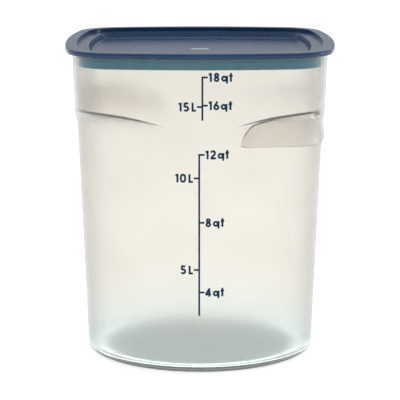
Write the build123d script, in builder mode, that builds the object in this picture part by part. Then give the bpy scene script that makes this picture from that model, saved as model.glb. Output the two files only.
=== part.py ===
from build123d import *
from math import atan2, cos, radians, sin, sqrt, tan
import os

# A food-storage container with a plug lid, in millimetres. The body is round below and a
# rounded square above. +Z is up, and the origin is on the ground under the centre.
# The printed scale is on the -Y side; the two grips hang at the +X-Y and -X+Y corners.

# Round lower body
base_radius = 121.8  # outer radius of the wall, carried down to the ground
round_draft = 2.35  # degrees that the round wall leans outward
wall = 2.4
foot_recess = 2.6  # the middle of the base stands this far off the ground
foot_width = 9.0
foot_draft = 20.0  # slope of the recess's edge
base_thickness = 3.4
base_fillet = 8.0

# Rounded-square upper body
rim_height = 334.1
rim_half_width = 136.1  # outside the wall, at the rim
rim_side_radius = 580.0  # the gentle bow of each side
rim_corner_radius = 40.6
square_draft = 2.18
shelf_height = 264.4  # where the round wall would meet the shelf
shelf_slope = 15.6
shelf_fillet = 26.0
shelf_edge_fillet = 4.0

# Rim flange that the lid closes over
flange_width = 4.5
flange_thickness = 2.4
flange_root_fillet = 3.0  # between the wall and the underside of the flange

# Grips
grip_bottom = 240.0
grip_rise = 34.0  # up into the shelf
grip_half_span = 60.0  # each way from the diagonal, at the bottom edge
grip_end_lean = 17.0  # degrees that the ends lean in as they rise
grip_shoulder_radius = 20.0  # where an end turns in under the shelf
grip_corner_radius = 8.0  # between an end and the face
grip_flare = 1.4  # how far the bottom edge stands outside the square wall
grip_draft = 5.5

# Lid
lid_wall = 2.2
lid_skirt = 4.8  # height of the lip round the outside
lid_edge_fillet = 2.4
rim_band_width = 12.5
ledge_step = 4.0  # from the rim band down to the ledge
ledge_width = 12.5
panel_depth = 6.6  # from the ledge down to the panel
panel_draft = 25.0
panel_corner_fillet = 3.0
plug_depth = 15.7  # from the top of the rim down to the plug's edge

# Seal
seal_thickness = 2.6
seal_height = 8.0
seal_rise = 0.6  # from the plug's edge up to the seal
seal_edge_fillet = 1.1
collar_step = 0.9  # the seal's thinner collar, which runs up to the shoulder, is set back this far

# Clearances
lip_clearance = 0.5  # lid lip to container flange
seat_clearance = 0.3  # lid to the top of the rim
seal_clearance = 0.3  # seal to the inside of the container

# Printed marks
ink = 0.2
line_width = 1.9
tick_right = 5.4
tick_left = 5.6
tick_gap = 0.9  # from a tick to its numerals
numeral_height = 9.0
numeral_stroke = 2.1
numeral_gap = 1.9
lower_line_x = -0.8
upper_line_x = 2.4
lower_line = (63.6, 232.5)
upper_line = (268.9, 312.1)
lower_marks = [("12qt", 232.5), ("10L", 208.1), ("8qt", 161.6), ("5L", 111.7), ("4qt", 87.7)]
upper_marks = [("18qt", 312.1), ("16qt", 283.3), ("15L", 281.9)]

# Mark in the middle of the lid's panel
lid_mark_size = (19.0, 6.0)
lid_mark_line = 1.2

# Worked-out sizes
lid_grow = flange_width + lip_clearance + lid_wall  # lid edge outside the rim outline
rim_inner_inset = wall / cos(radians(square_draft))
lid_under = rim_height + seat_clearance
lid_top = lid_under + lid_wall
ledge_top = lid_top - ledge_step
panel_top = ledge_top - panel_depth
plug_bottom = lid_under - plug_depth
seal_bottom = plug_bottom + seal_rise
rim_draft_inset = (rim_height - seal_bottom) * tan(radians(square_draft))
seal_inset = rim_inner_inset + rim_draft_inset + seal_clearance
plug_inset = seal_inset + seal_thickness
recess_inset = rim_band_width + ledge_width - lid_grow


def square_outline(inset):
    """Rounded square of bowed sides, drawn inset from the outline of the rim."""
    half = rim_half_width - inset
    side = rim_side_radius - inset
    corner = rim_corner_radius - inset
    bow = side - half
    centre = (sqrt(2 * (side - corner) ** 2 - bow**2) - bow) / 2
    lean = atan2(centre + bow, centre)
    tangent = (side * cos(lean), side * sin(lean) - bow)
    bulge = centre + corner / sqrt(2)
    with BuildSketch(mode=Mode.PRIVATE) as outline:
        with BuildLine():
            for quarter in range(4):
                turn = Axis.Z, 90 * quarter
                start = Vector(*tangent).rotate(*turn)
                middle = Vector(0, half).rotate(*turn)
                end = Vector(-tangent[0], tangent[1]).rotate(*turn)
                corner_middle = Vector(-bulge, bulge).rotate(*turn)
                corner_end = Vector(-tangent[1], tangent[0]).rotate(*turn)
                ThreePointArc(start, middle, end)
                ThreePointArc(end, corner_middle, corner_end)
        make_face()
    return outline.sketch


def round_radius(height):
    """Outer radius of the round wall at a height."""
    return base_radius + height * tan(radians(round_draft))


def round_outline(inset, bottom, top):
    """Half section of the round body, its shelf and the space above it."""
    slope = tan(radians(shelf_slope))
    wall_inset = inset / cos(radians(round_draft))
    shelf_rise = inset / cos(radians(shelf_slope))
    low = shelf_height + shelf_rise - slope * round_radius(shelf_height)
    lean = tan(radians(round_draft))
    corner_z = (low + slope * (base_radius - wall_inset)) / (1 - slope * lean)
    corner_r = round_radius(corner_z) - wall_inset
    reach = rim_half_width * sqrt(2)
    with BuildSketch(Plane.XZ, mode=Mode.PRIVATE) as section:
        with BuildLine():
            Polyline(
                (0, bottom),
                (round_radius(bottom) - wall_inset, bottom),
                (corner_r, corner_z),
                (reach, low + slope * reach),
                (reach, top),
                (0, top),
                close=True,
            )
        make_face()
        foot = section.vertices().sort_by_distance((round_radius(bottom) - wall_inset, bottom, 0))[0]
        fillet(foot, base_fillet - inset)
        neck = section.vertices().sort_by_distance((corner_r, corner_z, 0))[0]
        fillet(neck, shelf_fillet + inset)
    return section.sketch


def square_block(inset, bottom, top):
    """Solid of the drafted rounded square, inset from the outside of its wall."""
    drop = (rim_height - bottom) * tan(radians(square_draft))
    with BuildPart(mode=Mode.PRIVATE) as block:
        with BuildSketch(Plane.XY.offset(bottom)):
            add(square_outline(drop + inset / cos(radians(square_draft))))
        extrude(amount=top - bottom, taper=-square_draft)
    return block.part


def body_block(inset, bottom, top):
    """Solid of the body's outside, or of its inside when inset by the wall."""
    square_start = shelf_height - shelf_fillet
    with BuildPart(mode=Mode.PRIVATE) as round_part:
        add(round_outline(inset, bottom, top))
        revolve(axis=Axis.Z)
    with BuildPart(mode=Mode.PRIVATE) as lower_part:
        add(round_part.part)
        split(bisect_by=Plane.XY.offset(square_start), keep=Keep.BOTTOM)
    with BuildPart(mode=Mode.PRIVATE) as whole:
        add(square_block(inset, square_start, top))
        add(round_part.part, mode=Mode.INTERSECT)
        add(lower_part.part)
    return whole.part


def grip_block(inset):
    """Bar across both grip corners, from the grips' bottom edge up into the body."""
    bottom_outset = grip_flare - (rim_height - grip_bottom) * tan(radians(square_draft))
    low_half = grip_half_span - inset / cos(radians(grip_end_lean))
    high_half = low_half - grip_rise * tan(radians(grip_end_lean))
    reach = rim_half_width * sqrt(2)
    with BuildPart(mode=Mode.PRIVATE) as bar:
        with BuildSketch(Plane.XY.offset(grip_bottom)):
            add(square_outline(inset - bottom_outset))
        extrude(amount=grip_rise, taper=grip_draft)
        diagonal = Plane((0, 0, grip_bottom), x_dir=(1, 1, 0), z_dir=(1, -1, 0))
        with BuildSketch(diagonal.offset(-reach)) as end_view:
            with BuildLine():
                Polyline(
                    (-low_half, 0), (low_half, 0), (high_half, grip_rise), (-high_half, grip_rise), close=True
                )
            make_face()
            fillet(end_view.vertices().group_by(Axis.Y)[-1], grip_shoulder_radius - inset)
        extrude(amount=2 * reach, mode=Mode.INTERSECT)
        ends = bar.edges().filter_by(GeomType.ELLIPSE) + bar.edges().filter_by(GeomType.BSPLINE)
        fillet(ends, grip_corner_radius - inset)
    return bar.part


# Grips: two aprons under the overhanging corners, open at the bottom for the fingers
with BuildPart() as grips:
    add(grip_block(0))
    add(grip_block(wall), mode=Mode.SUBTRACT)

# Container: one moulding, with its rim flange, its foot and its two grips
with BuildPart() as container_body:
    add(body_block(0, 0, rim_height))
    shelf_edges = container_body.edges().filter_by(GeomType.BSPLINE)
    fillet(shelf_edges.filter_by_position(Axis.Z, shelf_height - shelf_fillet, rim_height), shelf_edge_fillet)
    with BuildSketch(Plane.XY.offset(rim_height - flange_thickness)):
        add(square_outline(-flange_width))
    extrude(amount=flange_thickness)
    flange_underside = container_body.faces().filter_by(Axis.Z).sort_by(Axis.Z)[-2]
    fillet(flange_underside.inner_wires()[0].edges(), flange_root_fillet)
    add(grips.part)
    add(body_block(wall, foot_recess + base_thickness, rim_height), mode=Mode.SUBTRACT)
    with BuildSketch():
        Circle(base_radius - base_fillet - foot_width)
    extrude(amount=foot_recess, taper=foot_draft, mode=Mode.SUBTRACT)
    container_body.part.label = "container_body"

# Lid: a thin plate with a lip outside, a plug inside the mouth and a sunk panel
with BuildPart() as panel_recess:
    with BuildSketch(Plane.XY.offset(panel_top)):
        add(square_outline(recess_inset + panel_depth * tan(radians(panel_draft))))
    extrude(amount=panel_depth, taper=-panel_draft)
    fillet(panel_recess.faces().sort_by(Axis.Z)[0].edges(), panel_corner_fillet)

with BuildPart() as panel_cup:
    with BuildSketch(Plane.XY.offset(plug_bottom)):
        cup_rise = ledge_top - plug_bottom
        add(square_outline(recess_inset - lid_wall + cup_rise * tan(radians(panel_draft))))
    extrude(amount=cup_rise, taper=-panel_draft)

with BuildPart() as lid_underside:
    with BuildSketch(Plane.XY.offset(plug_bottom)):
        add(square_outline(plug_inset + lid_wall))
    extrude(amount=ledge_top - lid_wall - plug_bottom)
    add(panel_cup.part, mode=Mode.SUBTRACT)
    with BuildSketch(Plane.XY.offset(plug_bottom)):
        add(square_outline(plug_inset + lid_wall))
    extrude(amount=panel_top - lid_wall - plug_bottom)

with BuildPart() as lid:
    with BuildSketch(Plane.XY.offset(lid_top - lid_skirt)):
        add(square_outline(-lid_grow))
    extrude(amount=lid_skirt)
    fillet(lid.faces().sort_by(Axis.Z)[-1].edges(), lid_edge_fillet)
    with BuildSketch(Plane.XY.offset(lid_top - lid_skirt)):
        add(square_outline(lid_wall - lid_grow))
    extrude(amount=lid_skirt - lid_wall, mode=Mode.SUBTRACT)
    with BuildSketch(Plane.XY.offset(ledge_top - lid_wall)):
        add(square_outline(seal_inset))
    extrude(amount=lid_top - ledge_top + lid_wall)
    with BuildSketch(Plane.XY.offset(plug_bottom)):
        add(square_outline(plug_inset))
    extrude(amount=ledge_top - plug_bottom)
    with BuildSketch(Plane.XY.offset(ledge_top)):
        add(square_outline(rim_band_width - lid_grow))
    extrude(amount=ledge_step, mode=Mode.SUBTRACT)
    add(panel_recess.part, mode=Mode.SUBTRACT)
    add(lid_underside.part, mode=Mode.SUBTRACT)
    lid.part.label = "lid"

# Seal: a soft ring round the plug, with a thinner collar up to the shoulder of the lid
with BuildPart() as seal_ring:
    collar_height = ledge_top - lid_wall - seal_bottom
    with BuildSketch(Plane.XY.offset(seal_bottom)):
        add(square_outline(seal_inset))
    extrude(amount=seal_height)
    fillet(seal_ring.faces().filter_by(Axis.Z).edges(), seal_edge_fillet)
    with BuildSketch(Plane.XY.offset(seal_bottom)):
        add(square_outline(seal_inset + collar_step))
    extrude(amount=collar_height)
    with BuildSketch(Plane.XY.offset(seal_bottom)):
        add(square_outline(plug_inset))
    extrude(amount=collar_height, mode=Mode.SUBTRACT)
    seal_ring.part.label = "seal_ring"


# Numerals, drawn with a pen: each is its width and its strokes, in shares of the height.
# A stroke is the two ends of a line, or an arc's centre, radius, start and sweep.
numerals = {
    "0": (0.65, [(0.325, 0.67, 0.235, 0, 180), (0.325, 0.33, 0.235, 180, 180), (0.09, 0.33, 0.09, 0.67),
                 (0.56, 0.33, 0.56, 0.67)]),
    "1": (0.34, [(0.25, 0, 0.25, 1), (0.25, 0.91, 0.02, 0.8)]),
    "2": (0.64, [(0.31, 0.69, 0.22, -35, 200), (0.49, 0.564, 0.09, 0.1), (0.03, 0.09, 0.64, 0.09)]),
    "4": (0.68, [(0.46, 0, 0.46, 1), (0.48, 0.95, 0.06, 0.27), (0, 0.27, 0.66, 0.27)]),
    "5": (0.62, [(0.12, 0.91, 0.55, 0.91), (0.17, 1, 0.11, 0.5), (0.3, 0.315, 0.225, -150, 285)]),
    "6": (0.62, [(0.31, 0.31, 0.22, 0, 360), (0.14, 0.45, 0.42, 0.98)]),
    "8": (0.67, [(0.335, 0.29, 0.2, 0, 360), (0.335, 0.745, 0.165, 0, 360)]),
    "q": (0.64, [(0.31, 0.36, 0.225, 0, 360), (0.62, 0.68, 0.62, -0.2)]),
    "t": (0.42, [(0.21, 0, 0.21, 1), (0.01, 0.68, 0.41, 0.68)]),
    "L": (0.58, [(0.2, 0, 0.2, 1), (0.11, 0.09, 0.58, 0.09)]),
}


def text_width(text):
    """Width of a mark's numerals, with the gaps between them."""
    return sum(numerals[letter][0] for letter in text) * numeral_height + (len(text) - 1) * numeral_gap


def draw_text(text, left, middle):
    """Numerals from a left end, centred on a height, drawn in the active sketch."""
    base = middle - numeral_height / 2
    for letter in text:
        width, strokes = numerals[letter]
        for stroke in strokes:
            x, y, *rest = [value * numeral_height for value in stroke]
            with BuildLine(mode=Mode.PRIVATE) as pen:
                if len(stroke) == 5:
                    CenterArc((left + x, base + y), rest[0], stroke[3], stroke[4])
                else:
                    Line((left + x, base + y), (left + rest[0], base + rest[1]))
            trace(pen.line, numeral_stroke)
        left += width * numeral_height + numeral_gap


def scale_print(line_x, line_ends, marks):
    """Prisms in front of the wall in the shape of one printed scale."""
    bottom, top = line_ends
    with BuildPart(mode=Mode.PRIVATE) as prisms:
        with BuildSketch(Plane.XZ.offset(base_radius / 2)):
            with Locations((line_x, (bottom + top) / 2)):
                Rectangle(line_width, top - bottom + line_width)
            for text, height in marks:
                to_right = text.endswith("qt")
                tick = tick_right if to_right else -tick_left
                with Locations((line_x + tick / 2, height)):
                    Rectangle(abs(tick), line_width)
                left = line_x + tick + (tick_gap if to_right else -tick_gap - text_width(text))
                draw_text(text, left, height)
        extrude(amount=base_radius)
    return prisms.part


# Lower scale: an ink film on the round wall
with BuildPart() as scale_lower:
    film_bottom = lower_line[0] - numeral_height
    film_top = lower_line[1] + numeral_height
    with BuildSketch(Plane.XZ):
        with BuildLine():
            Polyline(
                (round_radius(film_bottom), film_bottom),
                (round_radius(film_bottom) + ink, film_bottom),
                (round_radius(film_top) + ink, film_top),
                (round_radius(film_top), film_top),
                close=True,
            )
        make_face()
    revolve(axis=Axis.Z)
    add(scale_print(lower_line_x, lower_line, lower_marks), mode=Mode.INTERSECT)
    scale_lower.part.label = "scale_lower"

# Upper scale: an ink film on the flat front wall
with BuildPart() as scale_upper:
    add(square_block(-ink, upper_line[0] - line_width, rim_height))
    add(square_block(0, upper_line[0] - line_width, rim_height), mode=Mode.SUBTRACT)
    add(scale_print(upper_line_x, upper_line, upper_marks), mode=Mode.INTERSECT)
    scale_upper.part.label = "scale_upper"

# Plain printed mark in the middle of the lid's panel
with BuildPart() as lid_mark:
    with BuildSketch(Plane.XY.offset(panel_top)):
        RectangleRounded(*lid_mark_size, lid_mark_size[1] / 3)
        Rectangle(lid_mark_size[0] - 4 * lid_mark_line, lid_mark_line, mode=Mode.SUBTRACT)
    extrude(amount=ink)
    lid_mark.part.label = "lid_mark"

os.makedirs("parts", exist_ok=True)
for piece in (container_body, lid, seal_ring, scale_lower, scale_upper, lid_mark):
    export_step(piece.part, f"parts/{piece.part.label}.step")
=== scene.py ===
import bpy
from math import radians
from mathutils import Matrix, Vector

# A translucent food-storage container with a navy plug lid. Lengths are in metres, +Z is up,
# and the printed scale faces -Y.
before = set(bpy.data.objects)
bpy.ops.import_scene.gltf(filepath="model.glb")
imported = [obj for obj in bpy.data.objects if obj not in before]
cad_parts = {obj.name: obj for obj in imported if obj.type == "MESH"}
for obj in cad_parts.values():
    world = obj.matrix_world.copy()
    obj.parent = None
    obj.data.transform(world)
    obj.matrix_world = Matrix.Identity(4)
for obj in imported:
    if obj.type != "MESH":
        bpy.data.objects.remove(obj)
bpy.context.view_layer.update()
scene = bpy.context.scene
millimetre = 0.001
white = (1, 1, 1, 1)

# Most of a noise texture's values lie between these.
noise_low = 0.3
noise_high = 0.7

# The painted blue-green glow of the base fades out between these heights.
painted_glow_from = 8 * millimetre
painted_glow_to = 70 * millimetre

floor_side = 30
floor_glow = 0.6

# The room is dark where the direction's part towards the back and up is low, bright where it is high.
dark_below = -0.95
bright_above = -0.3
dark_strength = 0.02
bright_strength = 0.6

# The tilt is in radians and the focal length in millimetres.
camera_place = (0, -2.1, 0.556)
camera_tilt_down = 0.1858
lens_length = 176.8


def linear(hex_colour):
    """Linear RGBA of an sRGB hex colour."""
    channels = [int(hex_colour[i:i + 2], 16) / 255 for i in (0, 2, 4)]
    return [c / 12.92 if c <= 0.04045 else ((c + 0.055) / 1.055) ** 2.4 for c in channels] + [1.0]


def add_node(tree, kind, settings, **links):
    """Adds a node, sets its fields and sockets, and links its inputs to other nodes' outputs."""
    node = tree.nodes.new(kind)
    for name, value in settings.items():
        if name in node.inputs:
            node.inputs[name].default_value = value
        else:
            setattr(node, name, value)
    for name, output in links.items():
        tree.links.new(output, node.inputs[name.replace("_", " ")])
    return node


def new_material(name):
    """An empty material, its node tree and its Object coordinates."""
    material = bpy.data.materials.new(name)
    material.use_nodes = True
    tree = material.node_tree
    tree.nodes.clear()
    place = add_node(tree, "ShaderNodeTexCoord", {}).outputs["Object"]
    return material, tree, place


def noise(tree, place, size):
    """Noise whose blotches are about size metres across."""
    settings = {"Scale": 1 / size, "Detail": 2.0, "Roughness": 0.5}
    return add_node(tree, "ShaderNodeTexNoise", settings, Vector=place).outputs["Fac"]


def between(tree, factor, low, high):
    """Spreads a factor's middle range over two values."""
    settings = {"From Min": noise_low, "From Max": noise_high, "To Min": low, "To Max": high}
    return add_node(tree, "ShaderNodeMapRange", settings, Value=factor).outputs["Result"]


def blend_colours(tree, factor, first, second):
    """A colour that wanders between two sRGB hex colours."""
    ramp = add_node(tree, "ShaderNodeValToRGB", {}, Fac=factor)
    low, high = ramp.color_ramp.elements
    low.position = noise_low
    low.color = linear(first)
    high.position = noise_high
    high.color = linear(second)
    return ramp.outputs["Color"]


def natural_polypropylene_moulded():
    """Natural polypropylene, injection moulded: clear enough to show what touches it, milky
    over a distance, with a soft satin gloss and faint flow blotches. It looks warm, and turns a
    lighter blue-green towards the thick base: a painted glow of the light it gathers from the walls."""
    material, tree, place = new_material("natural_polypropylene_moulded")
    flow = noise(tree, place, 45 * millimetre)
    satin = noise(tree, place, 6 * millimetre)
    grain = noise(tree, place, 1.2 * millimetre)
    height = add_node(tree, "ShaderNodeSeparateXYZ", {}, Vector=place).outputs["Z"]
    warm = blend_colours(tree, flow, "f2efe9", "f5f3ee")
    fade = {"From Min": painted_glow_from, "From Max": painted_glow_to}
    above_base = add_node(tree, "ShaderNodeMapRange", fade, Value=height).outputs["Result"]
    # The base's lighter blue-green is a painted glow of the light the thick base gathers from the
    # walls.
    painted_base_glow = {"data_type": "RGBA", "A": linear("f4fcfb")}
    colour = add_node(tree, "ShaderNodeMix", painted_base_glow, Factor=above_base, B=warm).outputs["Result"]
    roughness = between(tree, satin, 0.19, 0.24)
    relief = {"Strength": 0.15, "Distance": 0.05 * millimetre}
    bump = add_node(tree, "ShaderNodeBump", relief, Height=grain)
    shader = add_node(
        tree, "ShaderNodeBsdfPrincipled",
        {"IOR": 1.49, "Transmission Weight": 0.985, "Specular IOR Level": 0.12},
        Base_Color=colour, Roughness=roughness, Normal=bump.outputs["Normal"])
    add_node(tree, "ShaderNodeOutputMaterial", {}, Surface=shader.outputs["BSDF"])
    return material


def navy_polyethylene_moulded():
    """Navy low-density polyethylene, injection moulded: waxy satin, with the faint orange
    peel of a textured mould."""
    material, tree, place = new_material("navy_polyethylene_moulded")
    cloud = noise(tree, place, 30 * millimetre)
    peel = noise(tree, place, 3 * millimetre)
    colour = blend_colours(tree, cloud, "053a64", "08426e")
    roughness = between(tree, cloud, 0.24, 0.29)
    relief = {"Strength": 0.1, "Distance": 0.02 * millimetre}
    bump = add_node(tree, "ShaderNodeBump", relief, Height=peel)
    shader = add_node(
        tree, "ShaderNodeBsdfPrincipled", {"IOR": 1.51},
        Base_Color=colour, Roughness=roughness, Normal=bump.outputs["Normal"])
    add_node(tree, "ShaderNodeOutputMaterial", {}, Surface=shader.outputs["BSDF"])
    return material


def teal_elastomer_moulded():
    """Teal thermoplastic elastomer, moulded: matt, a little dusty."""
    material, tree, place = new_material("teal_elastomer_moulded")
    dust = noise(tree, place, 8 * millimetre)
    colour = blend_colours(tree, dust, "0094b8", "009ec4")
    roughness = between(tree, dust, 0.55, 0.68)
    shader = add_node(
        tree, "ShaderNodeBsdfPrincipled", {"IOR": 1.48, "Specular IOR Level": 0.08},
        Base_Color=colour, Roughness=roughness)
    add_node(tree, "ShaderNodeOutputMaterial", {}, Surface=shader.outputs["BSDF"])
    return material


def screen_printed_ink(name, thin, thick):
    """Screen-printed ink: opaque and matt, a little uneven where the film is thin."""
    material, tree, place = new_material(name)
    film = noise(tree, place, 3 * millimetre)
    colour = blend_colours(tree, film, thin, thick)
    roughness = between(tree, film, 0.45, 0.6)
    shader = add_node(
        tree, "ShaderNodeBsdfPrincipled", {"IOR": 1.5, "Specular IOR Level": 0.1},
        Base_Color=colour, Roughness=roughness)
    add_node(tree, "ShaderNodeOutputMaterial", {}, Surface=shader.outputs["BSDF"])
    return material


def coat(node_name, material):
    """Gives a CAD node its material."""
    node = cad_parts[node_name]
    node.data.materials.clear()
    node.data.materials.append(material)


def lay_floor():
    """A pale studio table, lit softly from below, that fades into the backdrop."""
    bpy.ops.object.select_all(action="DESELECT")
    bpy.ops.mesh.primitive_plane_add(size=floor_side)
    floor = bpy.context.object
    floor.name = "studio_floor"
    material, tree, place = new_material("opal_acrylic_light_table")
    mottle = noise(tree, place, 400 * millimetre)
    colour = blend_colours(tree, mottle, "ececec", "f0f0f0")
    shader = add_node(
        tree, "ShaderNodeBsdfPrincipled",
        {"Roughness": 0.9, "Specular IOR Level": 0.0,
         "Emission Color": white, "Emission Strength": floor_glow},
        Base_Color=colour)
    add_node(tree, "ShaderNodeOutputMaterial", {}, Surface=shader.outputs["BSDF"])
    floor.data.materials.append(material)


def add_softbox(name, place, size, power, aim):
    """A square area light of so many watts that points at a place."""
    data = bpy.data.lights.new(name, "AREA")
    data.size = size
    data.energy = power
    light = bpy.data.objects.new(name, data)
    scene.collection.objects.link(light)
    light.location = place
    direction = [a - b for a, b in zip(aim, place)]
    light.rotation_euler = Vector(direction).to_track_quat("-Z", "Y").to_euler()


def light_studio():
    """A white room, bright behind and above and dark on the camera's side, with two softboxes."""
    world = bpy.data.worlds.new("studio")
    scene.world = world
    world.use_nodes = True
    tree = world.node_tree
    tree.nodes.clear()
    direction = add_node(tree, "ShaderNodeTexCoord", {}).outputs["Generated"]
    back_and_up = add_node(tree, "ShaderNodeVectorMath", {"operation": "DOT_PRODUCT"}, Vector=direction)
    back_and_up.inputs[1].default_value = (0, 1, 1)
    fade = {"From Min": dark_below, "From Max": bright_above,
            "To Min": dark_strength, "To Max": bright_strength}
    strength = add_node(tree, "ShaderNodeMapRange", fade, Value=back_and_up.outputs["Value"])
    glow = add_node(tree, "ShaderNodeBackground", {"Color": white}, Strength=strength.outputs["Result"])
    add_node(tree, "ShaderNodeOutputWorld", {}, Surface=glow.outputs["Background"])
    add_softbox("top_softbox", place=(0, 0.5, 2.2), size=1.6, power=8, aim=(0, 0, 0.2))
    add_softbox("side_softbox", place=(1.6, 0.2, 0.55), size=0.35, power=3, aim=(0.1, -0.1, 0.25))


def place_camera():
    """A long lens, a little above the lid and looking slightly down at it."""
    data = bpy.data.cameras.new("camera")
    data.sensor_width = 36
    data.lens = lens_length
    data.clip_end = 50
    camera = bpy.data.objects.new("camera", data)
    scene.collection.objects.link(camera)
    camera.location = camera_place
    camera.rotation_euler = (radians(90) - camera_tilt_down, 0, 0)
    scene.camera = camera


place_camera()
lay_floor()
light_studio()
scene.view_settings.view_transform = "Standard"

coat("container_body", natural_polypropylene_moulded())
coat("lid", navy_polyethylene_moulded())
coat("seal_ring", teal_elastomer_moulded())
navy_ink = screen_printed_ink("navy_screen_ink", "0a3d5f", "06314f")
coat("scale_lower", navy_ink)
coat("scale_upper", navy_ink)
coat("lid_mark", screen_printed_ink("white_screen_ink", "f4f7f8", "fafcfc"))
